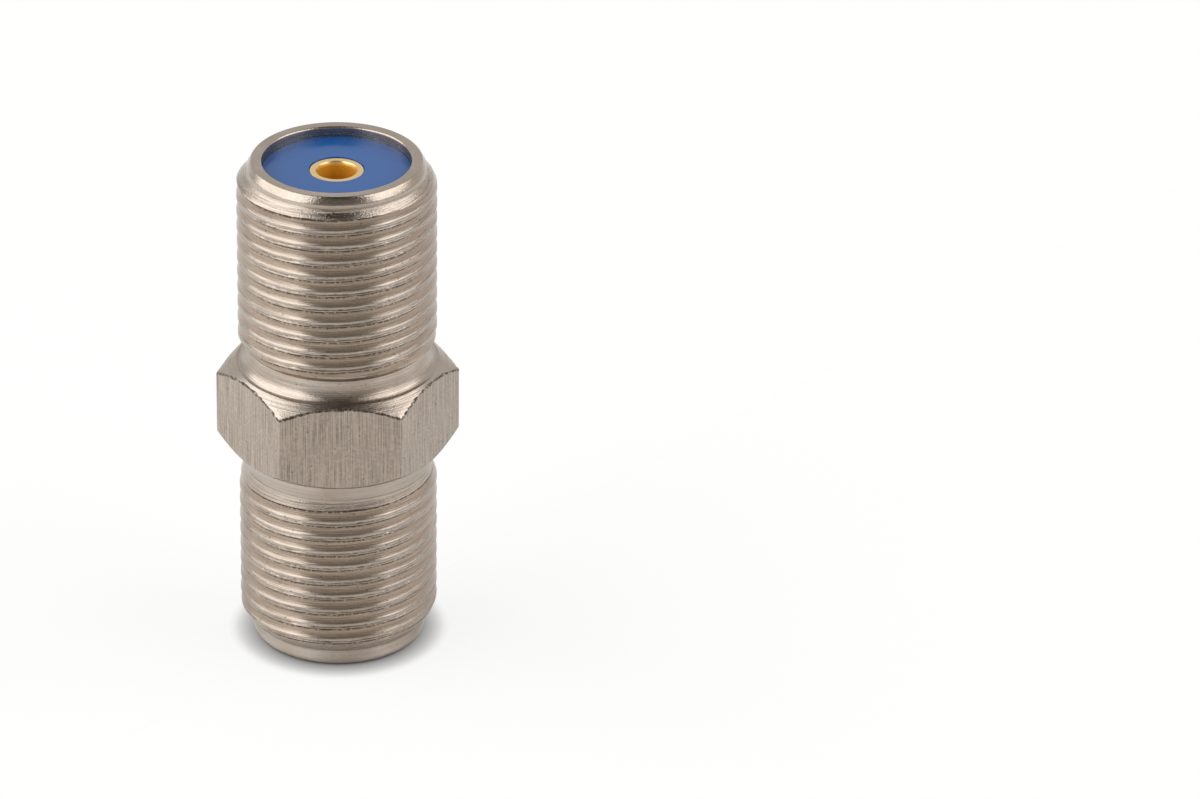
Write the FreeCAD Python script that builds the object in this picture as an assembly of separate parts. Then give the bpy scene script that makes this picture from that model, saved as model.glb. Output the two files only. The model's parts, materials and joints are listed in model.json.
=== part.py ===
# Threaded coaxial coupler: a hexagonal barrel with a threaded socket at each end.
# Millimetres. The barrel's axis is Z, and the lower rim rests on Z = 0.
import FreeCAD, Part
import math
import os

# Thread at both ends: 32 turns to the inch on a 3/8 inch barrel
thread_major_dia = 9.42
thread_pitch = 25.4 / 32
thread_height_per_pitch = 0.61343

# Lengths along the upper end, from the rim down to the hexagon's shoulder
top_pilot_length = 0.60
top_thread_length = 8.00
top_neck_length = 1.00

# Lengths along the lower end, from the rim up to the hexagon's cone
bottom_pilot_length = 0.90
bottom_thread_length = 7.00
bottom_neck_length = 0.25
bottom_taper_length = 1.00

# Thread relief: how far the necks lie below the crests, and the bevel in the shoulder's corner
relief_depth = 0.41
neck_bevel = 0.12

# Hexagon
hex_across_flats = 10.0
hex_length = 4.45
hex_cone_angle = 36.0
top_shoulder_inset = 0.17
bottom_shoulder_inset = 0.22
corner_allowance = 0.2

# Socket rims: a flat ring with a steep bevel outside and a small one inside
rim_wall = 0.72
rim_bevel_share = 0.28
rim_bevel_angle = 60.0
rim_lip_share = 0.125

# Bore and the seats that the insulators are pressed against
seat_width = 0.40
face_recess = 0.52

# Insulators
disc_thickness = 2.40
disc_edge_chamfer = 0.10
boss_wall = 0.90
boss_length = 1.20
boss_bevel = 0.25
hole_chamfer = 0.09

# Contact sleeve
sleeve_dia = 2.45
sleeve_wall = 0.325
sleeve_step = 0.30
mouth_set_back = 0.02
mouth_lip_share = 0.60
mouth_bevel_share = 0.30
countersink_depth = 0.18
sleeve_edge_chamfer = 0.15
tip_hole_wall = 0.25
tip_hole_depth = 3.00
drill_point_angle = 118.0

# Spring clips inside the sleeve
clip_set_back = 1.80
clip_wall = 0.15
clip_base_length = 1.50
finger_taper_length = 2.20
throat_dia = 0.76
throat_length = 0.50
flare_length = 0.60
flare_depth = 0.24
slot_width = 0.20
slot_count = 4

# Worked-out radii
thread_radius = thread_major_dia / 2
thread_height = thread_height_per_pitch * thread_pitch
pilot_radius = thread_radius - thread_height
neck_radius = thread_radius - relief_depth
seat_radius = pilot_radius - rim_wall
bore_radius = seat_radius - seat_width
rim_bevel = rim_wall * rim_bevel_share
rim_bevel_drop = rim_bevel * math.tan(math.radians(rim_bevel_angle))
rim_lip = rim_wall * rim_lip_share
hex_corner_radius = hex_across_flats / 2 / math.cos(math.pi / 6)
top_shoulder_radius = hex_across_flats / 2 - top_shoulder_inset
bottom_shoulder_radius = hex_across_flats / 2 - bottom_shoulder_inset
sleeve_radius = sleeve_dia / 2
sleeve_bore_radius = sleeve_radius - sleeve_wall
mouth_lip = sleeve_wall * mouth_lip_share
mouth_bevel = sleeve_wall * mouth_bevel_share

# Worked-out heights
bottom_end_length = (bottom_pilot_length + thread_height + bottom_thread_length
                     + relief_depth + bottom_neck_length + bottom_taper_length)
top_end_length = top_pilot_length + thread_height + top_thread_length + relief_depth + top_neck_length
hex_base_z = bottom_end_length
hex_top_z = hex_base_z + hex_length
body_length = hex_top_z + top_end_length
seat_depth = face_recess + disc_thickness
clip_length = clip_base_length + finger_taper_length + throat_length + flare_length


def turned(outline):
    """Solid turned about Z from a closed outline of (radius, height) points."""
    corners = [FreeCAD.Vector(radius, 0, z) for radius, z in outline]
    face = Part.Face(Part.makePolygon(corners + corners[:1]))
    return face.revolve(FreeCAD.Vector(0, 0, 0), FreeCAD.Vector(0, 0, 1), 360)


def threaded_end(pilot_length, thread_length, neck_length):
    """Outside of one socket, from the rim at height 0 inwards along +Z, as (radius, height) points."""
    thread_start = pilot_length + thread_height
    thread_end = thread_start + thread_length
    neck_start = thread_end + relief_depth
    return [
        (seat_radius + rim_lip, 0),
        (pilot_radius - rim_bevel, 0),
        (pilot_radius, rim_bevel_drop),
        (pilot_radius, pilot_length),
        (thread_radius, thread_start),
        (thread_radius, thread_end),
        (neck_radius, neck_start),
        (neck_radius, neck_start + neck_length),
    ]


def lower_end():
    outside = threaded_end(bottom_pilot_length, bottom_thread_length, bottom_neck_length)
    return turned(outside + [(bottom_shoulder_radius, hex_base_z), (0, hex_base_z), (0, 0)])


def upper_end():
    outside = threaded_end(top_pilot_length, top_thread_length, top_neck_length - neck_bevel)
    base = [(neck_radius + neck_bevel, top_end_length), (0, top_end_length), (0, 0)]
    end = turned(outside + base)
    end.rotate(FreeCAD.Vector(0, 0, 0), FreeCAD.Vector(1, 0, 0), 180)
    end.translate(FreeCAD.Vector(0, 0, body_length))
    return end


def hexagon():
    """Hexagon bar with a flat towards -Y, turned to a cone at both ends."""
    slope = math.tan(math.radians(hex_cone_angle))
    reach = hex_corner_radius + corner_allowance
    bar = turned([
        (0, hex_base_z),
        (bottom_shoulder_radius, hex_base_z),
        (reach, hex_base_z + (reach - bottom_shoulder_radius) * slope),
        (reach, hex_top_z - (reach - top_shoulder_radius) * slope),
        (top_shoulder_radius, hex_top_z),
        (0, hex_top_z),
    ])
    corners = []
    for index in range(7):
        angle = index * math.pi / 3
        corners.append(FreeCAD.Vector(hex_corner_radius * math.cos(angle),
                                      hex_corner_radius * math.sin(angle), hex_base_z))
    prism = Part.Face(Part.makePolygon(corners)).extrude(FreeCAD.Vector(0, 0, hex_length))
    return bar.common(prism)


def body_bore():
    """Through bore with a wider seat at each end and a small bevel at each rim."""
    return turned([
        (0, 0),
        (seat_radius + rim_lip, 0),
        (seat_radius, rim_lip),
        (seat_radius, seat_depth),
        (bore_radius, seat_depth),
        (bore_radius, body_length - seat_depth),
        (seat_radius, body_length - seat_depth),
        (seat_radius, body_length - rim_lip),
        (seat_radius + rim_lip, body_length),
        (0, body_length),
    ])


def make_body():
    outside = lower_end().fuse([hexagon(), upper_end()])
    return outside.cut(body_bore()).removeSplitter()


def make_insulator():
    """Lower insulator: a disc in the rim's seat, with a boss inwards around the contact."""
    face_z = face_recess
    back_z = face_z + disc_thickness
    boss_radius = sleeve_radius + boss_wall
    boss_z = back_z + boss_length
    return turned([
        (sleeve_radius + hole_chamfer, face_z),
        (seat_radius - disc_edge_chamfer, face_z),
        (seat_radius, face_z + disc_edge_chamfer),
        (seat_radius, back_z),
        (boss_radius + boss_bevel, back_z),
        (boss_radius, back_z + boss_bevel),
        (boss_radius, boss_z),
        (sleeve_radius, boss_z),
        (sleeve_radius, face_z + hole_chamfer),
    ])


def sleeve_hole(mouth_z):
    """Stepped blind hole from a mouth at height mouth_z inwards along +Z."""
    tip_radius = sleeve_bore_radius - tip_hole_wall
    step_z = mouth_z + clip_set_back + clip_length
    floor_z = step_z + tip_hole_depth
    point_z = floor_z + tip_radius / math.tan(math.radians(drill_point_angle / 2))
    return turned([
        (0, mouth_z),
        (sleeve_radius - mouth_lip, mouth_z),
        (sleeve_bore_radius, mouth_z + countersink_depth),
        (sleeve_bore_radius, step_z),
        (tip_radius, step_z),
        (tip_radius, floor_z),
        (0, point_z),
    ])


def make_contact_sleeve():
    """Sleeve with bevelled mouths and a thicker middle that stands between the insulators' bosses."""
    mouth_z = face_recess + mouth_set_back
    step_z = seat_depth + boss_length
    middle_radius = sleeve_radius + sleeve_step
    half = [
        (sleeve_radius - mouth_bevel, mouth_z),
        (sleeve_radius, mouth_z + mouth_bevel),
        (sleeve_radius, step_z),
        (middle_radius - sleeve_edge_chamfer, step_z),
        (middle_radius, step_z + sleeve_edge_chamfer),
    ]
    other_half = [(radius, body_length - z) for radius, z in reversed(half)]
    blank = turned([(0, mouth_z)] + half + other_half + [(0, body_length - mouth_z)])
    hole = sleeve_hole(mouth_z)
    return blank.cut([hole, turned_over(hole)])


def make_spring_clip():
    """Lower clip: a ring pressed into the sleeve, with fingers that close to a throat near the mouth."""
    tip_z = face_recess + mouth_set_back + clip_set_back
    throat_radius = throat_dia / 2
    ring_radius = sleeve_bore_radius - clip_wall
    throat_z = tip_z + flare_length
    taper_z = throat_z + throat_length
    ring_z = taper_z + finger_taper_length
    base_z = tip_z + clip_length
    inside = [
        (throat_radius + flare_depth, tip_z),
        (throat_radius, throat_z),
        (throat_radius, taper_z),
        (ring_radius, ring_z),
        (ring_radius, base_z),
    ]
    outside = [(radius + clip_wall, z) for radius, z in reversed(inside)]
    clip = turned(inside + outside)
    slots = []
    for index in range(slot_count):
        slot = Part.makeBox(sleeve_radius, slot_width, ring_z - tip_z,
                            FreeCAD.Vector(0, -slot_width / 2, tip_z))
        slot.rotate(FreeCAD.Vector(0, 0, 0), FreeCAD.Vector(0, 0, 1), index * 360 / slot_count)
        slots.append(slot)
    return clip.cut(slots)


def turned_over(shape):
    """The same piece in the other socket: turned end for end about the barrel's middle."""
    other = shape.copy()
    other.rotate(FreeCAD.Vector(0, 0, body_length / 2), FreeCAD.Vector(1, 0, 0), 180)
    return other


insulator = make_insulator()
spring_clip = make_spring_clip()
pieces = {
    "body": make_body(),
    "insulator_bottom": insulator,
    "insulator_top": turned_over(insulator),
    "contact_sleeve": make_contact_sleeve(),
    "spring_clip_bottom": spring_clip,
    "spring_clip_top": turned_over(spring_clip),
}

os.makedirs("parts", exist_ok=True)
for name, piece in pieces.items():
    piece.exportStep(f"parts/{name}.step")
    print(name, piece.ShapeType, len(piece.Solids), "solid", round(piece.Volume, 3), "mm3",
          "valid" if piece.isValid() else "INVALID")
print("length", round(body_length, 3))
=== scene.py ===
import json
import math
import bpy
import numpy as np
from mathutils import Matrix, Vector


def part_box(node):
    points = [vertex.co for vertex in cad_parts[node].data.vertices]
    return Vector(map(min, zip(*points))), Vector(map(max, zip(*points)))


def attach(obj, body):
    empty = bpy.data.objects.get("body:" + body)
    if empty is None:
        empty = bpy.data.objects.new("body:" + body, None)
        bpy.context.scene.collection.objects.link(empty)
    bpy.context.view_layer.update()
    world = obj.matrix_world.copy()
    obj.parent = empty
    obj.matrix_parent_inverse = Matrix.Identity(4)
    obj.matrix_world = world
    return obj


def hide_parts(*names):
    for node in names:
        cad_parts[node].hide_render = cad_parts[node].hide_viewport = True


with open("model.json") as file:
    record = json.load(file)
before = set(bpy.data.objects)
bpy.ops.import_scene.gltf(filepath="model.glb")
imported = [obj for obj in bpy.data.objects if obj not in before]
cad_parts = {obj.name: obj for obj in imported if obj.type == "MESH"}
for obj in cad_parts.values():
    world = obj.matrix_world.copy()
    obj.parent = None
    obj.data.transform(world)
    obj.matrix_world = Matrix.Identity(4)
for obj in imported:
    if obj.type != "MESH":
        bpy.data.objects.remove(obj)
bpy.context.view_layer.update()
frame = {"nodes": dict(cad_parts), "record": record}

mm = 0.001


# Frame: sizes that every piece below is worked out from

def mountNamed(name):
    return next(mount for mount in frame["record"]["mounts"] if mount["name"] == name)


def boxInMm(node):
    low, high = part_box(node)
    return low / mm, high / mm


barrelHigh = boxInMm("body")[1]
barrelTop = barrelHigh.z
flatDistance = barrelHigh.y  # axis to a flat of the hexagon
upperThread = mountNamed("thread_top")
threadRadius = upperThread["dims"]["r_mm"]
upperLandEnd = upperThread["pos_m"][2] / mm - upperThread["dims"]["length_mm"] / 2  # its lower end


# Camera: 222 mm lens from 0.35 m, 28 degrees down on the upper rim, as the photograph was taken

camera = {
    "lens": 222.0,
    "sensor": 36.0,
    "down": 27.80,          # degrees below the horizon
    "roll": 0.758,          # degrees
    "turn": -3.5,           # degrees round the barrel from the front flat
    "distance": 345.78,     # mm, depth of the upper rim's centre
    "picture": (1200, 799),
    "rimAt": (336.59, 159.06),  # pixel of the upper rim's centre
}


def placeCamera():
    focal = camera["lens"] / camera["sensor"] * camera["picture"][0]
    down, roll = math.radians(camera["down"]), math.radians(camera["roll"])
    ahead = Vector((0, math.cos(down), -math.sin(down)))
    level = Vector((1, 0, 0))
    upright = level.cross(ahead)
    right = math.cos(roll) * level + math.sin(roll) * upright
    up = math.cos(roll) * upright - math.sin(roll) * level
    depth = camera["distance"]
    across = (camera["rimAt"][0] - camera["picture"][0] / 2) / focal * depth
    below = (camera["rimAt"][1] - camera["picture"][1] / 2) / focal * depth
    place = Vector((0, 0, barrelTop)) - (ahead * depth + right * across - up * below)
    turn = Matrix.Rotation(math.radians(camera["turn"]), 4, "Z")
    data = bpy.data.cameras.new("camera")
    data.lens, data.sensor_width = camera["lens"], camera["sensor"]
    data.clip_start, data.clip_end = 0.01, 20
    viewer = bpy.data.objects.new("camera", data)
    bpy.context.scene.collection.objects.link(viewer)
    axes = Matrix((right, up, -ahead)).transposed().to_4x4()
    viewer.matrix_world = turn @ Matrix.Translation(place * mm) @ axes
    bpy.context.scene.camera = viewer


placeCamera()
print("camera placed")


# Materials: lengths in millimetres

mixFrom, mixTo, mixed = 6, 7, 2  # a colour mix node's two inputs and its output


def toLinear(hexColour):
    channels = [int(hexColour[i:i + 2], 16) / 255 for i in (1, 3, 5)]
    return (*[c / 12.92 if c <= 0.04045 else ((c + 0.055) / 1.055) ** 2.4 for c in channels], 1)


def addNode(tree, kind, settings=None, links=None):
    node = tree.nodes.new(kind)
    for name, value in (settings or {}).items():
        if isinstance(name, int) or name in node.inputs:
            node.inputs[name].default_value = value
        else:
            setattr(node, name, value)
    for name, source in (links or {}).items():
        tree.links.new(source, node.inputs[name])
    return node


def newMaterial(name):
    material = bpy.data.materials.new(name)
    material.use_nodes = True
    return material, material.node_tree, material.node_tree.nodes["Principled BSDF"]


def fromRange(low, high):
    return {"From Min": low, "From Max": high}


def toRange(low, high):
    return {"To Min": low, "To Max": high}


noiseSpread = fromRange(0.3, 0.7)  # where most of a noise texture's values lie

# Nickel plate over brass: warm grey and satin, with small stains, pits and dull torn specks
nickel = {
    "colour": "#B8AEA4",
    "stainAndShade": "#A29283",     # where the plate is thin and the brass warms it; in the thread's valleys, painted shade
    "tornAndShade": "#524A43",      # dull specks where the tool tore the brass, and painted shade under the crests
    "stainSize": 2.2, "stainRange": (0.35, 0.75), "stainMost": 0.7,
    "tornSize": 0.13, "tornRange": (0.36, 0.54), "tornDepth": 0.015,
    "tornDull": 0.2,        # how much rougher the torn specks are
    "sandSize": 0.065, "sandDepth": 0.014,  # grain of the tumbled rims
    "pitSize": 0.42,        # between the small pits
    "pitRange": (0.06, 0.12),
    "lineShades": (-0.5, 0.6), "lineGloss": (-0.05, 0.07),
    "valleyDull": 0.08,     # how much rougher the thread's valleys are
}


def nickelPlated(name, made):
    material, tree, shader = newMaterial(name)
    lay = addNode(tree, "ShaderNodeAttribute", {"attribute_name": "lay"})
    wear = addNode(tree, "ShaderNodeAttribute", {"attribute_name": "wear"})
    worn = addNode(tree, "ShaderNodeSeparateXYZ", links={"Vector": wear.outputs["Vector"]})
    tornAndShade, sandy, deep = worn.outputs["X"], worn.outputs["Y"], worn.outputs["Z"]
    place = addNode(tree, "ShaderNodeTexCoord").outputs["Object"]
    stretch = (1 / made["lineWidth"], 1 / made["lineLength"], 1 / made["lineLength"])
    stretched = addNode(tree, "ShaderNodeMapping", {"Scale": stretch}, {"Vector": lay.outputs["Vector"]})
    lines = addNode(tree, "ShaderNodeTexNoise", {"Scale": 1.0, "Detail": 3.0, "Roughness": 0.6},
                    {"Vector": stretched.outputs["Vector"]}).outputs["Fac"]

    def grain(size, detail):
        settings = {"Scale": 1 / (size * mm), "Detail": detail}
        return addNode(tree, "ShaderNodeTexNoise", settings, {"Vector": place}).outputs["Fac"]

    stains = grain(nickel["stainSize"], 4.0)
    specks = grain(nickel["tornSize"], 2.0)
    sand = grain(nickel["sandSize"], 1.0)
    stained = addNode(tree, "ShaderNodeMapRange",
                      fromRange(*nickel["stainRange"]) | {"To Max": nickel["stainMost"]}, {"Value": stains})
    # Depth in a valley pulls the colour towards the stain: painted shade in the thread's valleys, a warmer
    # tone on the flats
    stainAndShadeShare = addNode(tree, "ShaderNodeMath", {"operation": "MAXIMUM"},
                     {0: stained.outputs["Result"], 1: deep})
    warm = addNode(tree, "ShaderNodeMix", {"data_type": "RGBA", mixFrom: toLinear(nickel["colour"]),
                                           mixTo: toLinear(nickel["stainAndShade"])}, {0: stainAndShadeShare.outputs["Value"]})
    pits = addNode(tree, "ShaderNodeTexVoronoi", {"Scale": 1 / (nickel["pitSize"] * mm), "Randomness": 1.0},
                   {"Vector": place})
    pitted = addNode(tree, "ShaderNodeMapRange", fromRange(*nickel["pitRange"]) | toRange(1.0, 0.0),
                     {"Value": pits.outputs["Distance"]})
    speckled = addNode(tree, "ShaderNodeMapRange", fromRange(*nickel["tornRange"]), {"Value": specks})
    # Share of the torn colour; where the thread's outline lays it on thickly, it is painted shade under the
    # crests
    tearingAndShade = addNode(tree, "ShaderNodeMath", {"operation": "MULTIPLY"},
                      {0: speckled.outputs["Result"], 1: tornAndShade}).outputs["Value"]
    marked = addNode(tree, "ShaderNodeMath",
                     {"operation": "MULTIPLY_ADD", 1: made["lineShade"], "use_clamp": True},
                     {0: pitted.outputs["Result"], 2: tearingAndShade})
    shades = toRange(*[made["lineShade"] * share for share in nickel["lineShades"]])
    shade = addNode(tree, "ShaderNodeMapRange", noiseSpread | shades, {"Value": lines})
    darkened = addNode(tree, "ShaderNodeMath", {"operation": "ADD", "use_clamp": True},
                       {0: marked.outputs["Value"], 1: shade.outputs["Result"]})
    colour = addNode(tree, "ShaderNodeMix", {"data_type": "RGBA", mixTo: toLinear(nickel["tornAndShade"])},
                     {0: darkened.outputs["Value"], mixFrom: warm.outputs[mixed]})
    glosses = toRange(*[made["roughness"] + more for more in nickel["lineGloss"]])
    gloss = addNode(tree, "ShaderNodeMapRange", noiseSpread | glosses, {"Value": lines})
    dulled = addNode(tree, "ShaderNodeMath", {"operation": "MULTIPLY_ADD", 1: nickel["tornDull"]},
                     {0: tearingAndShade, 2: gloss.outputs["Result"]})
    matte = addNode(tree, "ShaderNodeMath", {"operation": "MULTIPLY_ADD", 1: nickel["valleyDull"]},
                    {0: deep, 2: dulled.outputs["Value"]})
    lineBump = addNode(tree, "ShaderNodeBump", {"Strength": 1.0, "Distance": made["lineDepth"] * mm},
                       {"Height": lines})
    tornHeight = addNode(tree, "ShaderNodeMath", {"operation": "MULTIPLY"}, {0: specks, 1: tornAndShade})
    tornBump = addNode(tree, "ShaderNodeBump", {"Strength": 1.0, "Distance": nickel["tornDepth"] * mm},
                       {"Height": tornHeight.outputs["Value"], "Normal": lineBump.outputs["Normal"]})
    sandHeight = addNode(tree, "ShaderNodeMath", {"operation": "MULTIPLY"}, {0: sand, 1: sandy})
    sandBump = addNode(tree, "ShaderNodeBump", {"Strength": 1.0, "Distance": nickel["sandDepth"] * mm},
                       {"Height": sandHeight.outputs["Value"], "Normal": tornBump.outputs["Normal"]})
    shader.inputs["Metallic"].default_value = 1.0
    tree.links.new(colour.outputs[mixed], shader.inputs["Base Color"])
    tree.links.new(matte.outputs["Value"], shader.inputs["Roughness"])
    tree.links.new(sandBump.outputs["Normal"], shader.inputs["Normal"])
    return material


# The lines are drawn two to five times as wide as the real 0.02 mm, so that they show.
# Turned: rings of fine lines, which draw the highlights out round the barrel
nickelPlatedTurnedBrass = nickelPlated("nickelPlatedTurnedBrass", {
    "lineWidth": 0.055, "lineLength": 5.0, "lineDepth": 0.012, "lineShade": 0.45, "roughness": 0.20})
# Drawn: the flats keep the bar's upright scratches and look nearly matt
nickelPlatedDrawnBrass = nickelPlated("nickelPlatedDrawnBrass", {
    "lineWidth": 0.06, "lineLength": 3.0, "lineDepth": 0.015, "lineShade": 0.75, "roughness": 0.25})
# Rolled: the thread is pressed smooth, so its slopes flash between dull torn seams and painted shade under
# the crests
nickelPlatedRolledThread = nickelPlated("nickelPlatedRolledThread", {
    "lineWidth": 0.045, "lineLength": 2.5, "lineDepth": 0.010, "lineShade": 0.85, "roughness": 0.12})
# Tumbled: the rims have lost their lines and glint with a fine grain
nickelPlatedTumbledBrass = nickelPlated("nickelPlatedTumbledBrass", {
    "lineWidth": 0.09, "lineLength": 2.0, "lineDepth": 0.001, "lineShade": 0.0, "roughness": 0.14})

# Blue polypropylene, moulded: smooth and faintly waxy, so the bore's wall shows in it softly
bluePolypropylene = {
    "colour": "#094C91", "pale": "#10569B",
    "grainSize": 0.35, "grainDepth": 0.002,
    "roughness": 0.19, "grainGloss": (-0.03, 0.05),
    "refraction": 1.49,
}


def mouldedPolypropylene():
    look = bluePolypropylene
    material, tree, shader = newMaterial("mouldedPolypropylene")
    place = addNode(tree, "ShaderNodeTexCoord").outputs["Object"]
    grain = addNode(tree, "ShaderNodeTexNoise", {"Scale": 1 / (look["grainSize"] * mm), "Detail": 3.0},
                    {"Vector": place}).outputs["Fac"]
    colour = addNode(tree, "ShaderNodeMix", {"data_type": "RGBA", mixFrom: toLinear(look["colour"]),
                                             mixTo: toLinear(look["pale"])}, {0: grain})
    glosses = toRange(*[look["roughness"] + more for more in look["grainGloss"]])
    gloss = addNode(tree, "ShaderNodeMapRange", noiseSpread | glosses, {"Value": grain})
    bump = addNode(tree, "ShaderNodeBump", {"Strength": 1.0, "Distance": look["grainDepth"] * mm},
                   {"Height": grain})
    shader.inputs["IOR"].default_value = look["refraction"]
    tree.links.new(colour.outputs[mixed], shader.inputs["Base Color"])
    tree.links.new(gloss.outputs["Result"], shader.inputs["Roughness"])
    tree.links.new(bump.outputs["Normal"], shader.inputs["Normal"])
    return material


# Gold flash over turned brass: pale gold outside, and down the bore duller, in a deeper amber that is painted
# shade
goldFlash = {
    "colour": "#F2D9A6", "worn": "#E3C285", "bore": "#E4AC34",
    "lineWidth": 0.06, "lineDepth": 0.002,
    "lineStretch": 0.3,     # noise per mm along the lines
    "grainSize": 0.07, "grainDepth": 0.005,
    "roughness": 0.2, "boreRoughness": 0.5, "boreMetallic": 0.5,
}


def goldPlatedTurnedBrass():
    look = goldFlash
    material, tree, shader = newMaterial("goldPlatedTurnedBrass")
    lay = addNode(tree, "ShaderNodeAttribute", {"attribute_name": "lay"})
    wear = addNode(tree, "ShaderNodeAttribute", {"attribute_name": "wear"})
    worn = addNode(tree, "ShaderNodeSeparateXYZ", links={"Vector": wear.outputs["Vector"]})
    inBore = worn.outputs["X"]
    place = addNode(tree, "ShaderNodeTexCoord").outputs["Object"]
    stretch = (1 / look["lineWidth"], look["lineStretch"], look["lineStretch"])
    stretched = addNode(tree, "ShaderNodeMapping", {"Scale": stretch}, {"Vector": lay.outputs["Vector"]})
    lines = addNode(tree, "ShaderNodeTexNoise", {"Scale": 1.0, "Detail": 2.0},
                    {"Vector": stretched.outputs["Vector"]})
    grain = addNode(tree, "ShaderNodeTexNoise", {"Scale": 1 / (look["grainSize"] * mm), "Detail": 2.0},
                    {"Vector": place}).outputs["Fac"]
    bright = addNode(tree, "ShaderNodeMix", {"data_type": "RGBA", mixFrom: toLinear(look["colour"]),
                                             mixTo: toLinear(look["worn"])}, {0: grain})
    # Painted shade: the bore takes the deeper amber colour
    colour = addNode(tree, "ShaderNodeMix", {"data_type": "RGBA", mixTo: toLinear(look["bore"])},
                     {0: inBore, mixFrom: bright.outputs[mixed]})
    roughness = addNode(tree, "ShaderNodeMapRange", toRange(look["roughness"], look["boreRoughness"]),
                        {"Value": inBore})
    metallic = addNode(tree, "ShaderNodeMapRange", toRange(1.0, look["boreMetallic"]), {"Value": inBore})
    lineBump = addNode(tree, "ShaderNodeBump", {"Strength": 1.0, "Distance": look["lineDepth"] * mm},
                       {"Height": lines.outputs["Fac"]})
    bump = addNode(tree, "ShaderNodeBump", {"Strength": 1.0, "Distance": look["grainDepth"] * mm},
                   {"Height": grain, "Normal": lineBump.outputs["Normal"]})
    tree.links.new(metallic.outputs["Result"], shader.inputs["Metallic"])
    tree.links.new(colour.outputs[mixed], shader.inputs["Base Color"])
    tree.links.new(roughness.outputs["Result"], shader.inputs["Roughness"])
    tree.links.new(bump.outputs["Normal"], shader.inputs["Normal"])
    return material


# Phosphor bronze strip, stamped and bent: brown gold, with the strip's rolling lines
bronzeStrip = {
    "colour": "#C48F58", "dark": "#A06D3C",
    "lineWidth": 0.05, "lineDepth": 0.002,
    "lineStretch": 0.1,     # share of the noise left along the strip
    "roughness": 0.3,
}


def stampedPhosphorBronze():
    look = bronzeStrip
    material, tree, shader = newMaterial("stampedPhosphorBronze")
    place = addNode(tree, "ShaderNodeTexCoord").outputs["Object"]
    stretched = addNode(tree, "ShaderNodeMapping", {"Scale": (1, 1, look["lineStretch"])}, {"Vector": place})
    lines = addNode(tree, "ShaderNodeTexNoise", {"Scale": 1 / (look["lineWidth"] * mm), "Detail": 2.0},
                    {"Vector": stretched.outputs["Vector"]}).outputs["Fac"]
    colour = addNode(tree, "ShaderNodeMix", {"data_type": "RGBA", mixFrom: toLinear(look["colour"]),
                                             mixTo: toLinear(look["dark"])}, {0: lines})
    bump = addNode(tree, "ShaderNodeBump", {"Strength": 1.0, "Distance": look["lineDepth"] * mm},
                   {"Height": lines})
    shader.inputs["Metallic"].default_value = 1.0
    shader.inputs["Roughness"].default_value = look["roughness"]
    tree.links.new(colour.outputs[mixed], shader.inputs["Base Color"])
    tree.links.new(bump.outputs["Normal"], shader.inputs["Normal"])
    return material


print("materials made")


# Meshes: a turned piece is a sheet of rows (along its outline) by columns (round the axis), closed on itself.
# Each corner of a face holds two values for the materials: lay, a place in mm whose first axis crosses the
# tool's lines, and wear, which says how torn, how sandy and how deep in a valley the metal is there.
# Under the thread's crests the torn value, and in its valleys the depth, also paint shade into the colour.
# On the contact sleeve, wear's first value is 1 in the bore, where it paints the bore's amber shade.

weldsPerMm = 1e5        # corners that agree to this are one vertex
sharpAngle = 50         # degrees
edgeRow = 0.03          # mm, a narrow row beside an edge keeps the shading of the face flat
noiseHalf = 0.5         # half of the lattice noise's range


def arcPoints(centreR, centreZ, radius, start, end, steps):
    angles = np.radians(np.linspace(start, end, steps + 1))
    return [(centreR + radius * math.cos(a), centreZ + radius * math.sin(a)) for a in angles]


# A random number from 0 to 1 for each cell, by the usual sine hash
def hashed(cell, seed):
    return np.modf(np.abs(np.sin(cell * 127.1 + seed * 311.7) * 43758.5453))[0]


# Smooth noise round zero, with one bump to each unit of x
def latticeNoise(x, seed):
    cell = np.floor(x)
    part = x - cell
    part = part * part * (3 - 2 * part)
    low, high = hashed(cell, seed), hashed(cell + 1, seed)
    return low + (high - low) * part - noiseHalf


def turnedSheet(points, columns, finish=0, wear=(0, 0, 0)):
    outline = np.array(points, float)
    steps = np.hypot(*np.diff(outline, axis=0).T)
    across = np.concatenate(([0], np.cumsum(steps)))
    shape = (len(outline), len(columns))
    radius = np.repeat(outline[:, :1], shape[1], axis=1)
    height = np.repeat(outline[:, 1:2], shape[1], axis=1)
    x, y = radius * np.cos(columns), radius * np.sin(columns)
    lay = np.stack([np.repeat(across[:, None], shape[1], axis=1), x, y], axis=-1)
    worn = np.broadcast_to(np.reshape(np.array(wear, float), (-1, 1, 3)), (*shape, 3))
    return {"place": np.stack([x, y, height], axis=-1), "lay": lay, "wear": worn, "finish": finish}


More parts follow.
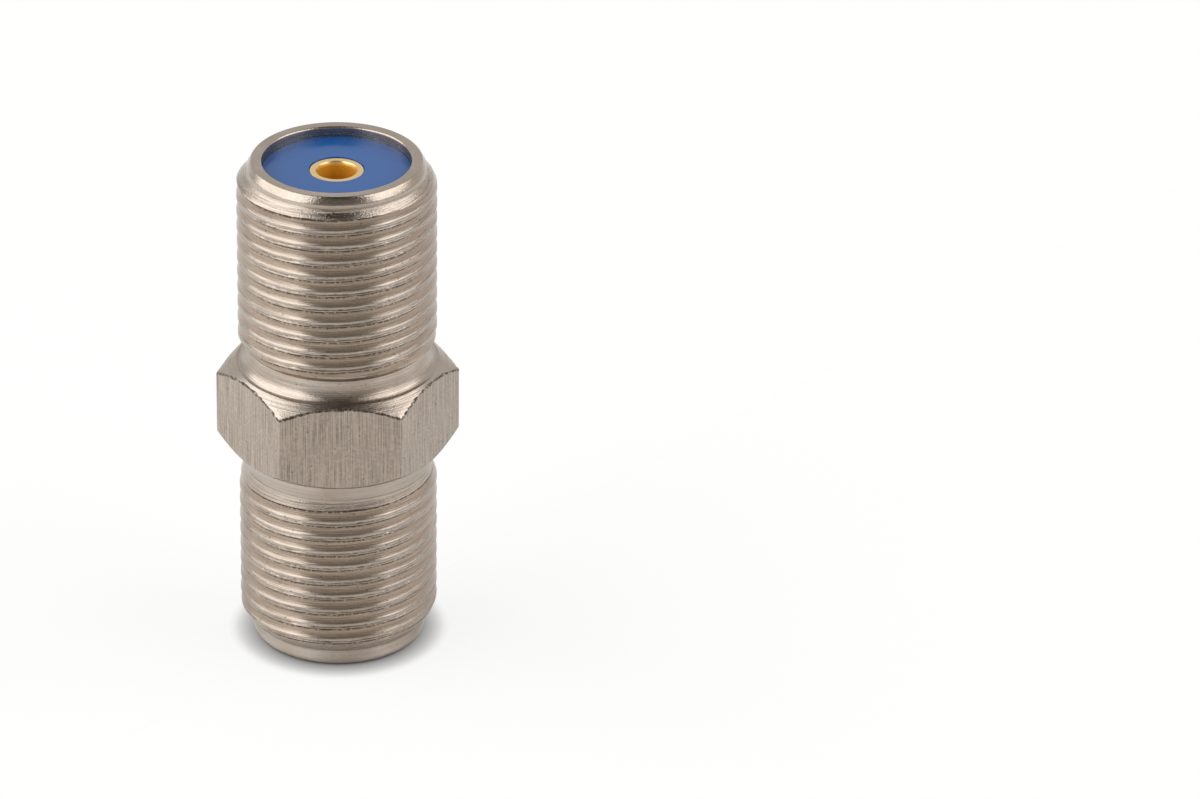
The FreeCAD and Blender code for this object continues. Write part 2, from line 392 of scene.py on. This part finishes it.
def meshFromSheets(name, sheets, materials):
    fields = {"place": [], "lay": [], "wear": []}
    finishes = []
    for sheet in sheets:
        for field, parts in fields.items():
            grid = sheet[field]
            quads = np.stack([grid[:-1, :-1], grid[1:, :-1], grid[1:, 1:], grid[:-1, 1:]], axis=2)
            parts.append(quads.reshape(-1, 4, 3))
        finishes.append(np.full(len(fields["place"][-1]), sheet["finish"]))
    place, lay, wear = (np.concatenate(parts) for parts in fields.values())
    finish = np.concatenate(finishes)
    keys = np.round(place.reshape(-1, 3) * weldsPerMm).astype(np.int64)
    _, first, index = np.unique(keys, axis=0, return_index=True, return_inverse=True)
    vertices = place.reshape(-1, 3)[first] * mm
    index = index.reshape(-1, 4)
    faces, corners, kept = [], [], []
    for number, quad in enumerate(index):
        used = [i for i in range(4) if quad[i] != quad[i - 1]]
        if len(used) > 2 and len({quad[i] for i in used}) == len(used):
            faces.append([int(quad[i]) for i in used])
            corners += [(number, i) for i in used]
            kept.append(number)
    mesh = bpy.data.meshes.new(name)
    mesh.from_pydata(vertices.tolist(), [], faces)
    corners = np.array(corners)
    for field, values in (("lay", lay), ("wear", wear)):
        attribute = mesh.attributes.new(field, "FLOAT_VECTOR", "CORNER")
        attribute.data.foreach_set("vector", values[corners[:, 0], corners[:, 1]].astype(np.float32).ravel())
    for material in materials:
        mesh.materials.append(material)
    mesh.polygons.foreach_set("material_index", finish[kept].astype(np.int32))
    mesh.shade_smooth()
    mesh.set_sharp_from_angle(angle=math.radians(sharpAngle))
    piece = bpy.data.objects.new(name, mesh)
    bpy.context.scene.collection.objects.link(piece)
    triangles = sum(len(face) - 2 for face in faces)
    print(name, "made:", triangles, "triangles")
    return piece


# Body: one turned hexagon bar. Radii, heights and lengths in mm, angles in degrees
body = {
    "pilotRadius": 4.2231, "topPilot": 0.60, "bottomPilot": 0.90,  # plain ends, and how long they are
    "wall": 0.72, "lip": 0.10,  # rim's thickness, and the rounding of its inner edge
    "topEdge": [(3.97, 0.0), (4.00, 0.004), (4.03, 0.030), (4.06, 0.075), (4.19, 0.300), (4.2131, 0.345),
                (4.2231, 0.385)],  # rim's outside: radius, depth below the end
    "bottomEdge": {"radius": 4.14, "round": 0.55, "rise": 0.75},  # rise: slope of the thread's start above it
    "boreRadius": 3.1031, "seatDepth": 2.92,
    "wallRows": (1.2, 0.35), "rimRow": 0.02,  # rows down the socket's wall, and beside the rim's outer edge
    "neckRadius": 4.30, "neckFlare": (0.50, 0.95),  # out and up from the hexagon's shoulder
    "lowNeckRadius": 4.46, "lowNeckEnds": (9.12, 9.18),
    "lowNeckRise": 0.32,    # slope of the thread's end towards the lower neck
    "taper": [(4.775, 10.00), (4.68, 9.80), (4.48, 9.22)],
    "hexLow": 10.047, "hexHigh": 14.497, "cone": 36.0,
    "topShoulder": 4.83, "bottomShoulder": 4.78,  # radii where the hexagon's cones start
    "cornerRound": 0.12, "edgeRound": {"top": 0.07, "bottom": 0.012},
    "edgeNicks": {"share": 1.1, "length": 0.25, "radius": 5.3, "seed": 29},  # how the cones' edges vary
    "toolRidge": 0.014,     # ridges that the tool left on the upper neck and the taper
    "neckRows": 16, "taperRows": 9,
    "columns": 180,
}

# A sheet's finish is its place in the barrel's row of materials
turned, drawn, rolled, tumbled = range(4)
barrelFinishes = [nickelPlatedTurnedBrass, nickelPlatedDrawnBrass, nickelPlatedRolledThread,
                  nickelPlatedTumbledBrass]

# Thread: 32 turns to the inch, right hand. The outline of one turn runs down from a crest's upper edge,
# over a crest that the rolling die left with a seam, and through a valley that rises to the next crest.
thread = {
    "pitch": 25.4 / 32,
    # Depths of two crests' middles below the upper rim, on the camera's side
    "upperCrest": 4.79, "lowerCrest": 20.14,
    "crestHalf": 0.13,
    "outline": [  # mm below the crest's upper edge, mm under the full radius, tear and painted shade, burr, depth in the valley
        (0.000, 0.000, 0.1, 0.5, 0.0), (0.056, 0.001, 0.3, 1.0, 0.0), (0.064, 0.014, 0.6, 1.0, 0.2),
        (0.072, 0.042, 0.9, 0.9, 0.3), (0.082, 0.044, 0.4, 0.6, 0.2), (0.142, 0.004, 0.1, 0.3, 0.0),
        # A tear above 1 on the drop under each crest lays the torn colour on thickly: torn metal and painted
        # shade
        (0.158, 0.000, 0.1, 0.4, 0.0), (0.178, 0.004, 0.4, 0.4, 0.0), (0.200, 0.045, 1.5, 0.3, 0.1),
        (0.235, 0.130, 2.3, 0.1, 0.6), (0.262, 0.162, 2.4, 0.0, 0.9), (0.290, 0.166, 1.5, 0.0, 1.0),
        (0.335, 0.151, 0.4, 0.0, 1.0), (0.420, 0.144, 0.0, 0.0, 1.0), (0.510, 0.121, 0.0, 0.0, 1.0),
        (0.610, 0.088, 0.0, 0.0, 0.8), (0.680, 0.056, 0.0, 0.1, 0.4), (0.742, 0.014, 0.2, 0.4, 0.1),
    ],
    "burr": 0.016, "burrLength": 0.20,
    "fineBurr": {"share": 0.6, "length": 0.45},  # of the burr's own depth and length
    "seeds": (3, 11),
    "cutPast": 0.003, "cutWear": (0.1, 1, 0.3),  # where the chamfer or the neck cuts a crest off
    "turnShift": 3.7,       # moves the lines from turn to turn, so that they don't repeat
}


def barrelColumns():
    turns = list(np.linspace(0, 360, body["columns"] + 1))
    besideCorner = (-0.8, -0.4, 0.4, 0.8)
    for corner in range(0, 361, 60):
        turns += [corner + offset for offset in besideCorner if 0 <= corner + offset <= 360]
    return np.radians(np.array(sorted(turns)))


columns = barrelColumns()
fullTurn = 2 * math.pi
sixth = math.pi / 3


def threadSheet(top, bottom, crestDepth, envelope):
    turnRows = thread["outline"]
    count = len(turnRows)
    pitch, burrDepth, burrLength = thread["pitch"], thread["burr"], thread["burrLength"]
    fine = thread["fineBurr"]
    coarseSeed, fineSeed = thread["seeds"]
    viewAzimuth = math.radians(camera["turn"] - 90)
    firstEdge = barrelTop - crestDepth + thread["crestHalf"] - pitch * viewAzimuth / fullTurn
    firstEdge += pitch * math.ceil((top - firstEdge) / pitch)
    rows = count * (math.ceil((firstEdge - bottom) / pitch) + 1) + 1
    height = np.zeros((rows, len(columns)))
    radius, across = height.copy(), height.copy()
    wear = np.zeros((rows, len(columns), 3))
    lengths = np.cumsum([0] + [math.hypot(b[0] - a[0], b[1] - a[1]) for a, b in zip(turnRows, turnRows[1:])])
    for row in range(rows):
        turn, step = divmod(row, count)
        below, under, tearAndShade, burr, deep = turnRows[step]
        along = (columns / fullTurn - turn) * fullTurn * threadRadius
        # Neighbouring rows share a seed, so that a burr spans them
        wander = latticeNoise(along / burrLength, coarseSeed + step // 3)
        wander += fine["share"] * latticeNoise(along / (fine["length"] * burrLength), fineSeed + step // 2)
        height[row] = firstEdge - pitch * turn - below + pitch * columns / fullTurn
        height[row] += burrDepth * burr * wander
        radius[row] = threadRadius - under - np.maximum(0, burrDepth * burr * (noiseHalf + wander))
        wear[row] = (tearAndShade, 0, deep)
        across[row] = lengths[step]
    height = np.clip(height, bottom, top)
    limit = envelope(height)
    wear[radius > limit + thread["cutPast"]] = thread["cutWear"]
    radius = np.minimum(radius, limit)
    x, y = radius * np.cos(columns), radius * np.sin(columns)
    lay = np.stack([across, x, y + thread["turnShift"] * height], axis=-1)
    return {"place": np.stack([x, y, height], axis=-1), "lay": lay, "wear": wear, "finish": rolled}


def hexagonRadius(azimuth):
    rounding = body["cornerRound"]
    fromCorner = (azimuth + sixth / 2) % sixth - sixth / 2
    straight = flatDistance / np.cos(sixth / 2 - np.abs(fromCorner))
    centre = (flatDistance - rounding) / math.cos(sixth / 2)
    touch = math.atan2(rounding / 2, centre + rounding * math.cos(sixth / 2))
    aside = centre * np.sin(fromCorner)
    bent = centre * np.cos(fromCorner) + np.sqrt(np.maximum(0, rounding ** 2 - aside ** 2))
    return np.where(np.abs(fromCorner) < touch, bent, straight)


def hexagonSheets():
    angle = math.radians(body["cone"])
    slope, run, rise = math.tan(angle), math.cos(angle), math.sin(angle)
    across = hexagonRadius(columns)
    cornerSlip = 1e-9  # a corner's column ends the flat before it
    side = np.floor(columns / sixth - cornerSlip)
    perimeter = flatDistance * (side * 2 * math.tan(sixth / 2) + np.tan(columns - side * sixth - sixth / 2))
    coneShares = (0, 0.06, 0.35, 0.7, 1)
    flatShares = (0, 0.02, 0.1, 0.3, 0.5, 0.7, 0.9, 0.98, 1)
    bend = 0.30  # where the rounding's middle row lies

    def edgeRows(shoulder, shoulderZ, sign):
        nicks = body["edgeNicks"]
        wander = latticeNoise(columns * nicks["radius"] / nicks["length"], nicks["seed"] + sign)
        edge = body["edgeRound"]["top" if sign > 0 else "bottom"] * (1 + nicks["share"] * wander)
        corner = shoulderZ - sign * (across - shoulder) * slope
        cone = []
        for share in coneShares:
            reach = shoulder + share * (across - edge * run - shoulder)
            cone.append((reach, shoulderZ - sign * (reach - shoulder) * slope))
        rounding = [cone[-1],
                    (across - bend * edge * run, corner + bend * edge * sign * (rise - 1)),
                    (across, corner - sign * edge)]
        return cone, rounding

    topCone, topRound = edgeRows(body["topShoulder"], body["hexHigh"], 1)
    lowCone, lowRound = edgeRows(body["bottomShoulder"], body["hexLow"], -1)
    high, low = topRound[-1][1], lowRound[-1][1]
    flat = [(across, high + (low - high) * share) for share in flatShares]
    sheets = []
    for rows, finish, wear in ((topCone, turned, (0, 0.5, 0)), (topRound, turned, (1, 0, 0.5)),
                               (flat, drawn, (0.2, 0, 0.45)), (lowRound[::-1], turned, (0.2, 0, 0)),
                               (lowCone[::-1], turned, (0, 0, 0))):
        radius = np.array([np.broadcast_to(r, columns.shape) for r, z in rows])
        height = np.array([np.broadcast_to(z, columns.shape) for r, z in rows])
        x, y = radius * np.cos(columns), radius * np.sin(columns)
        if finish == drawn:
            lay = np.stack([np.broadcast_to(perimeter, radius.shape), height, 0 * height], axis=-1)
        else:
            lay = np.stack([radius / run, x, y], axis=-1)
        sheets.append({"place": np.stack([x, y, height], axis=-1), "lay": lay,
                       "wear": np.broadcast_to(np.array(wear, float), (*radius.shape, 3)), "finish": finish})
    return sheets


def rimSheets(end, inward, pilotLength, edge):
    seat = body["pilotRadius"] - body["wall"]
    lip = body["lip"]
    wall = [(seat, body["seatDepth"]), *[(seat, depth) for depth in body["wallRows"]], (seat, lip + edgeRow)]
    rim = [wall[-1]] + [(radius, -depth) for radius, depth in arcPoints(seat + lip, -lip, lip, 180, 90, 5)]
    rim += [(edge[0][0] - body["rimRow"], 0), *edge]
    outside, edgeEnd = rim[-1]
    pilot = [(outside, edgeEnd), (outside, edgeEnd + body["rimRow"]), (outside, pilotLength)]
    sheets = []
    for outline, finish, wear in ((wall, turned, (0.2, 0.7, 0)), (rim, tumbled, (0.08, 0.55, 0)),
                                  (pilot, turned, (0.1, 0.5, 0))):
        points = [(radius, end + inward * depth) for radius, depth in outline]
        sheets.append(turnedSheet(points, columns, finish, wear))
    return sheets


def flaredNeck(top):
    radius, foot = body["neckRadius"], body["hexHigh"]
    out, up = body["neckFlare"]
    outline = [(radius, top), (radius, foot + up + edgeRow)]
    for step in range(body["neckRows"] + 1):
        angle = math.pi / 2 * step / body["neckRows"]
        ridge = body["toolRidge"] if step % 2 else 0
        outline.append((radius + out * (1 - math.cos(angle)) + ridge, foot + up * (1 - math.sin(angle))))
    return outline


def ridgedTaper():
    start, (topRadius, topZ), (endRadius, endZ) = body["taper"]
    outline = [(body["bottomShoulder"], body["hexLow"]), start]
    for step in range(body["taperRows"] + 1):
        share = step / body["taperRows"]
        ridge = body["toolRidge"] if step % 2 and share < 1 else 0
        outline.append((topRadius + (endRadius - topRadius) * share + ridge, topZ + (endZ - topZ) * share))
    return outline


def makeBody():
    top = barrelTop
    pilotEnd = top - body["topPilot"]
    neckTop = upperLandEnd - (threadRadius - body["neckRadius"])
    lowNeckRadius = body["lowNeckRadius"]
    lowNeckBottom, lowNeckTop = body["lowNeckEnds"]
    lowPilotEnd = body["bottomPilot"]
    seat, seatDepth = body["pilotRadius"] - body["wall"], body["seatDepth"]
    bottomRadius, rounding = body["bottomEdge"]["radius"], body["bottomEdge"]["round"]

    def upperEnvelope(z):
        chamfer = body["pilotRadius"] + pilotEnd - z
        runOut = body["neckRadius"] + z - neckTop
        return np.minimum(np.minimum(chamfer, runOut), threadRadius)

    def lowerEnvelope(z):
        chamfer = bottomRadius + body["bottomEdge"]["rise"] * (z - lowPilotEnd)
        runOut = lowNeckRadius + body["lowNeckRise"] * (lowNeckBottom - z)
        return np.minimum(np.minimum(chamfer, runOut), threadRadius)

    bore = [(seat, seatDepth), (body["boreRadius"], seatDepth), (body["boreRadius"], top - seatDepth),
            (seat, top - seatDepth)]
    shoulder = [(body["neckRadius"] + body["neckFlare"][0], body["hexHigh"]),
                (body["topShoulder"], body["hexHigh"])]
    bottomRound = arcPoints(bottomRadius - rounding, rounding, rounding, -90, 0, 8)
    sheets = [
        turnedSheet(bore, columns),
        *rimSheets(top, -1, body["topPilot"], body["topEdge"]),
        threadSheet(pilotEnd, neckTop, thread["upperCrest"], upperEnvelope),
        turnedSheet(flaredNeck(neckTop), columns, wear=(0.1, 0.4, 0)),
        turnedSheet(shoulder, columns),
        *hexagonSheets(),
        turnedSheet([*ridgedTaper(), (lowNeckRadius, lowNeckTop)], columns),
        turnedSheet([(lowNeckRadius, lowNeckTop), (lowNeckRadius, lowNeckBottom)], columns),
        threadSheet(lowNeckBottom, lowPilotEnd, thread["lowerCrest"], lowerEnvelope),
        *rimSheets(0, 1, body["bottomPilot"], bottomRound),
    ]
    piece = meshFromSheets("barrel", sheets, barrelFinishes)
    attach(piece, "root")
    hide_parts("body")


makeBody()


# Insulators: a moulded disc in each socket, with a boss inwards round the contact, in mm
insulator = {
    "edge": 0.02, "outerRow": 0.04,
    "hole": 0.08, "holeDepth": 0.11,    # counterbore round the sleeve's lip
    "boss": 0.90, "bossBevel": 0.25, "bossLength": 1.20,
    "columns": 144,
}

# Contact sleeve: turned tube with a flared and countersunk mouth at each end, in mm
sleeve = {
    "wall": 0.325, "step": 0.30, "edge": 0.15,  # the middle is thicker by the step
    "sunk": 0.02,           # how far the mouth lies behind its place in the frame
    "flare": 0.06, "lip": 0.04, "top": 0.24, "inner": 0.04, "lipRow": 0.01,
    "countersink": 0.18, "sinkEdge": (0.005, 0.01),
    "amberPast": 0.02,      # how far the bore's painted amber shade reaches past its edge
    "holeDepth": 6.70, "tipDepth": 3.00, "tipWall": 0.25, "tipPoint": 0.39,
    "columns": 96,
}
sleeveLow, sleeveHigh = boxInMm("contact_sleeve")
discLow, discHigh = boxInMm("insulator_bottom")
seatRadius = discHigh.x
sleeveRadius = sleeveHigh.x - sleeve["step"]
discFace = discLow.z
bossEnd = discHigh.z


def roundColumns(count):
    return np.radians(np.linspace(0, 360, count + 1))


def insulatorOutline():
    edge, hole = insulator["edge"], insulator["hole"]
    bevel = insulator["bossBevel"]
    boss = sleeveRadius + insulator["boss"]
    discBack = bossEnd - insulator["bossLength"]
    holeEnd = discFace + insulator["holeDepth"]
    outline = [(sleeveRadius, bossEnd), (sleeveRadius, holeEnd), (sleeveRadius + hole, holeEnd)]
    outline += arcPoints(sleeveRadius + hole + edge, discFace + edge, edge, 180, 270, 4)
    outline += [(sleeveRadius + hole + edge + edgeRow, discFace),
                (seatRadius - edge - insulator["outerRow"], discFace)]
    outline += arcPoints(seatRadius - edge, discFace + edge, edge, -90, 0, 4)
    outline += [(seatRadius, discBack), (boss + bevel, discBack), (boss, discBack + bevel), (boss, bossEnd),
                (sleeveRadius, bossEnd)]
    return outline


def turnOver(outline):
    return [(radius, barrelTop - height) for radius, height in reversed(outline)]


def makeInsulators(material):
    outline = insulatorOutline()
    for node, points in (("insulator_bottom", outline[::-1]), ("insulator_top", turnOver(outline)[::-1])):
        sheet = turnedSheet(points, roundColumns(insulator["columns"]))
        piece = meshFromSheets(node + "Moulding", [sheet], [material])
        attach(piece, "root")
        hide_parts(node)


makeInsulators(mouldedPolypropylene())


def makeSleeve(material):
    mouth = sleeveLow.z + sleeve["sunk"]
    middle, outer = sleeveHigh.x, sleeveRadius
    bore = outer - sleeve["wall"]
    tip = bore - sleeve["tipWall"]
    edge, lip, inner = sleeve["edge"], sleeve["lip"], sleeve["inner"]
    holeEnd = mouth + sleeve["holeDepth"]
    tipEnd = holeEnd + sleeve["tipDepth"]
    sinkEnd = mouth + sleeve["countersink"]
    sinkOut, sinkDown = sleeve["sinkEdge"]
    flared = outer + sleeve["flare"]
    inside = flared - lip - sleeve["top"]
    half = [(0, tipEnd + sleeve["tipPoint"]), (tip, tipEnd), (tip, holeEnd), (bore, holeEnd),
            (bore, sinkEnd + edgeRow), (bore + sinkOut, sinkEnd - sinkDown)]
    half += arcPoints(inside, mouth + inner, inner, -160, -90, 4)
    half += [(inside + sleeve["lipRow"], mouth), (flared - lip - sleeve["lipRow"], mouth)]
    half += arcPoints(flared - lip, mouth + lip, lip, -90, 0, 6)
    half += [(outer, mouth + 2 * lip), (outer, bossEnd), (middle - edge, bossEnd), (middle, bossEnd + edge)]
    outline = (half + turnOver(half))[::-1]
    inBore = [(1 if radius < bore + sleeve["amberPast"] else 0, 0, 0) for radius, height in outline]
    sheet = turnedSheet(outline, roundColumns(sleeve["columns"]), wear=inBore)
    piece = meshFromSheets("contactSleeve", [sheet], [material])
    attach(piece, "root")
    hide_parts("contact_sleeve")


makeSleeve(goldPlatedTurnedBrass())


# Spring clips: the solids' own shape, in bronze
def finishClips(material):
    for node in ("spring_clip_bottom", "spring_clip_top"):
        mesh = frame["nodes"][node].data
        mesh.materials.clear()
        mesh.materials.append(material)


finishClips(stampedPhosphorBronze())
print("pieces made")


# Studio: pale table, pale wall behind, a large soft lamp at each side and a dark gap between them, in metres
studio = {
    "tableHalf": 3.0,
    "table": "#E7E7E6",
    "tableShown": "#7A7A79",  # the table as the camera sees it, so that the lamps' shadows stay faint
    "glow": 0.80,           # the rest of its white, less where the barrel hides it: a painted shadow
    "contact": 0.0013,      # reach of the soft painted shadow where the barrel stands
    "contactPower": 1.6, "contactSamples": 8,
    "sheenInMetal": 0.21,   # gloss of the table, as the metal mirrors it
    "sheenRoughness": 0.35,
    "pale": "#E4E2DF",
    "dark": ("#ACA6A0", "#48443F"),  # at the horizon and higher up
    "darkens": (0.38, 0.66),
    "gapMiddle": 0.03,      # the gap lies in front and overhead, this far to the right,
    "gapHalf": 0.70,        # this wide to each side at the horizon,
    "gapNarrows": 0.30,     # this much less overhead,
    "gapEdge": (-0.08, 0.12),
    "behind": (0.05, 0.45),  # and ends where the pale wall behind starts
    "left": {"at": (-0.48, -0.065, 0.36), "size": (0.96, 0.66), "radiance": 1.62},
    "right": {"at": (0.42, -0.10, 0.38), "size": (0.60, 0.46), "radiance": 1.62},
    "aim": (0, 0, 0.012),   # the barrel's middle
}


def makeTable():
    mesh = bpy.data.meshes.new("table")
    reach = studio["tableHalf"]
    mesh.from_pydata([(-reach, -reach, 0), (reach, -reach, 0), (reach, reach, 0), (-reach, reach, 0)], [],
                     [(0, 1, 2, 3)])
    table = bpy.data.objects.new("table", mesh)
    bpy.context.scene.collection.objects.link(table)
    material, tree, shader = newMaterial("whiteTable")
    tree.nodes.remove(shader)
    path = addNode(tree, "ShaderNodeLightPath")
    seen = path.outputs["Is Camera Ray"]
    # Painted shadow: ambient occlusion dims the glow that the camera sees round the barrel's foot
    openness = addNode(tree, "ShaderNodeAmbientOcclusion",
                       {"Distance": studio["contact"], "samples": studio["contactSamples"]})
    paintedShadow = addNode(tree, "ShaderNodeMath", {"operation": "POWER", 1: studio["contactPower"]},
                     {0: openness.outputs["AO"]})
    shown = addNode(tree, "ShaderNodeMath", {"operation": "MULTIPLY"}, {0: seen, 1: paintedShadow.outputs["Value"]})
    glow = addNode(tree, "ShaderNodeMath", {"operation": "MULTIPLY", 1: studio["glow"]},
                   {0: shown.outputs["Value"]})
    mirrored = addNode(tree, "ShaderNodeMath", {"operation": "MULTIPLY", 1: studio["sheenInMetal"]},
                       {0: path.outputs["Is Glossy Ray"]})
    tone = addNode(tree, "ShaderNodeMix", {"data_type": "RGBA", mixFrom: toLinear(studio["table"]),
                                           mixTo: toLinear(studio["tableShown"])}, {0: seen})
    paint = addNode(tree, "ShaderNodeBsdfDiffuse", links={"Color": tone.outputs[mixed]})
    sheen = addNode(tree, "ShaderNodeBsdfGlossy", {"Roughness": studio["sheenRoughness"]},
                    {"Color": mirrored.outputs["Value"]})
    light = addNode(tree, "ShaderNodeEmission", {"Color": (1, 1, 1, 1)}, {"Strength": glow.outputs["Value"]})
    glossy = addNode(tree, "ShaderNodeAddShader", links={0: paint.outputs["BSDF"], 1: sheen.outputs["BSDF"]})
    both = addNode(tree, "ShaderNodeAddShader",
                   links={0: glossy.outputs["Shader"], 1: light.outputs["Emission"]})
    tree.links.new(both.outputs["Shader"], tree.nodes["Material Output"].inputs["Surface"])
    mesh.materials.append(material)


def makeWorld():
    world = bpy.data.worlds.new("studio")
    world.use_nodes = True
    bpy.context.scene.world = world
    tree = world.node_tree
    path = addNode(tree, "ShaderNodeLightPath")
    direction = addNode(tree, "ShaderNodeTexCoord")
    parts = addNode(tree, "ShaderNodeSeparateXYZ", links={"Vector": direction.outputs["Generated"]})
    across = addNode(tree, "ShaderNodeMath", {"operation": "SUBTRACT", 1: studio["gapMiddle"]},
                     {0: parts.outputs["X"]})
    aside = addNode(tree, "ShaderNodeMath", {"operation": "ABSOLUTE"}, {0: across.outputs["Value"]})
    overhead = addNode(tree, "ShaderNodeMath", {"operation": "MULTIPLY_ADD", 1: studio["gapNarrows"]},
                       {0: parts.outputs["Z"], 2: aside.outputs["Value"]})
    gapEdge = fromRange(*[studio["gapHalf"] + edge for edge in studio["gapEdge"]])
    beside = addNode(tree, "ShaderNodeMapRange", gapEdge, {"Value": overhead.outputs["Value"]})
    behind = addNode(tree, "ShaderNodeMapRange", fromRange(*studio["behind"]), {"Value": parts.outputs["Y"]})
    lit = addNode(tree, "ShaderNodeMath", {"operation": "MAXIMUM"},
                  {0: beside.outputs["Result"], 1: behind.outputs["Result"]})
    raised = addNode(tree, "ShaderNodeMapRange", fromRange(*studio["darkens"]), {"Value": parts.outputs["Z"]})
    nearGround, overGround = studio["dark"]
    dark = addNode(tree, "ShaderNodeMix", {"data_type": "RGBA", mixFrom: toLinear(nearGround),
                                           mixTo: toLinear(overGround)}, {0: raised.outputs["Result"]})
    sky = addNode(tree, "ShaderNodeMix", {"data_type": "RGBA", mixTo: toLinear(studio["pale"])},
                  {0: lit.outputs["Value"], mixFrom: dark.outputs[mixed]})
    background = tree.nodes["Background"]
    background.inputs["Strength"].default_value = 1.0
    tree.links.new(sky.outputs[mixed], background.inputs["Color"])
    white = addNode(tree, "ShaderNodeBackground", {"Color": (1, 1, 1, 1), "Strength": 1.0})
    shown = addNode(tree, "ShaderNodeMixShader",
                    links={0: path.outputs["Is Camera Ray"], 1: background.outputs["Background"],
                           2: white.outputs["Background"]})
    tree.links.new(shown.outputs["Shader"], tree.nodes["World Output"].inputs["Surface"])


def makeLamp(name, side):
    lamp = bpy.data.lights.new(name, "AREA")
    lamp.shape = "RECTANGLE"
    lamp.size, lamp.size_y = side["size"]
    lamp.energy = side["radiance"] * math.pi * lamp.size * lamp.size_y
    holder = bpy.data.objects.new(name, lamp)
    bpy.context.scene.collection.objects.link(holder)
    holder.location = side["at"]
    aim = Vector(studio["aim"]) - holder.location
    holder.rotation_euler = aim.to_track_quat("-Z", "Y").to_euler()


makeTable()
makeWorld()
makeLamp("lampLeft", studio["left"])
makeLamp("lampRight", studio["right"])
bpy.context.scene.view_settings.view_transform = "Standard"
print("studio lit")
